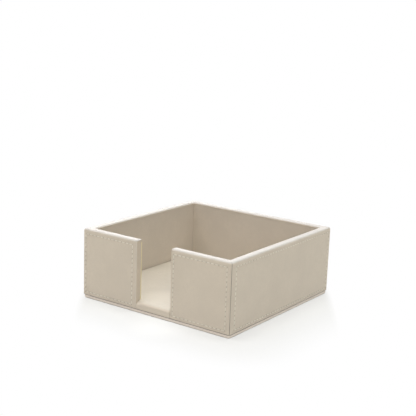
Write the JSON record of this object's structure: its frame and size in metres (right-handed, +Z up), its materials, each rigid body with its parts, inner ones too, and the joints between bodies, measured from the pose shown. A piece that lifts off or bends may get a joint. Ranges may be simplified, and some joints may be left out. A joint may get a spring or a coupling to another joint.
{
  "type": "note holder",
  "caption": "Open square leather desk holder for loose note paper, with stitched walls, a finger notch in front and a felt underside.",
  "frame": {"origin": "centre of the underside, on the surface that the holder stands on", "axes": "+Z up, +X to the right as seen from the front, the finger notch faces -Y"},
  "size_m": [0.12, 0.12, 0.048],
  "materials": {
    "leather": "smooth fine-grained leather, satin, light taupe",
    "lining": "smooth matte lining leather, taupe with a pale cut edge",
    "thread": "twisted sewing thread, matt, paler than the leather",
    "board": "raw fibreboard",
    "card": "grey bookbinder's board",
    "felt": "short-napped felt, pale taupe"
  },
  "bodies": {
    "root": {"underside_felt": "felt", "base_card": "card", "base_cover": "leather", "floor_board": "board", "floor_cover": "leather", "front_left_board": "board", "front_left_cover": "leather", "front_left_lining": "lining", "front_left_stitching": "thread", "front_right_board": "board", "front_right_cover": "leather", "front_right_lining": "lining", "front_right_stitching": "thread", "right_board": "board", "right_cover": "leather", "right_lining": "lining", "right_stitching": "thread", "back_board": "board", "back_cover": "leather", "back_lining": "lining", "back_stitching": "thread", "left_board": "board", "left_cover": "leather", "left_lining": "lining", "left_stitching": "thread"}
  },
  "joints": []
}
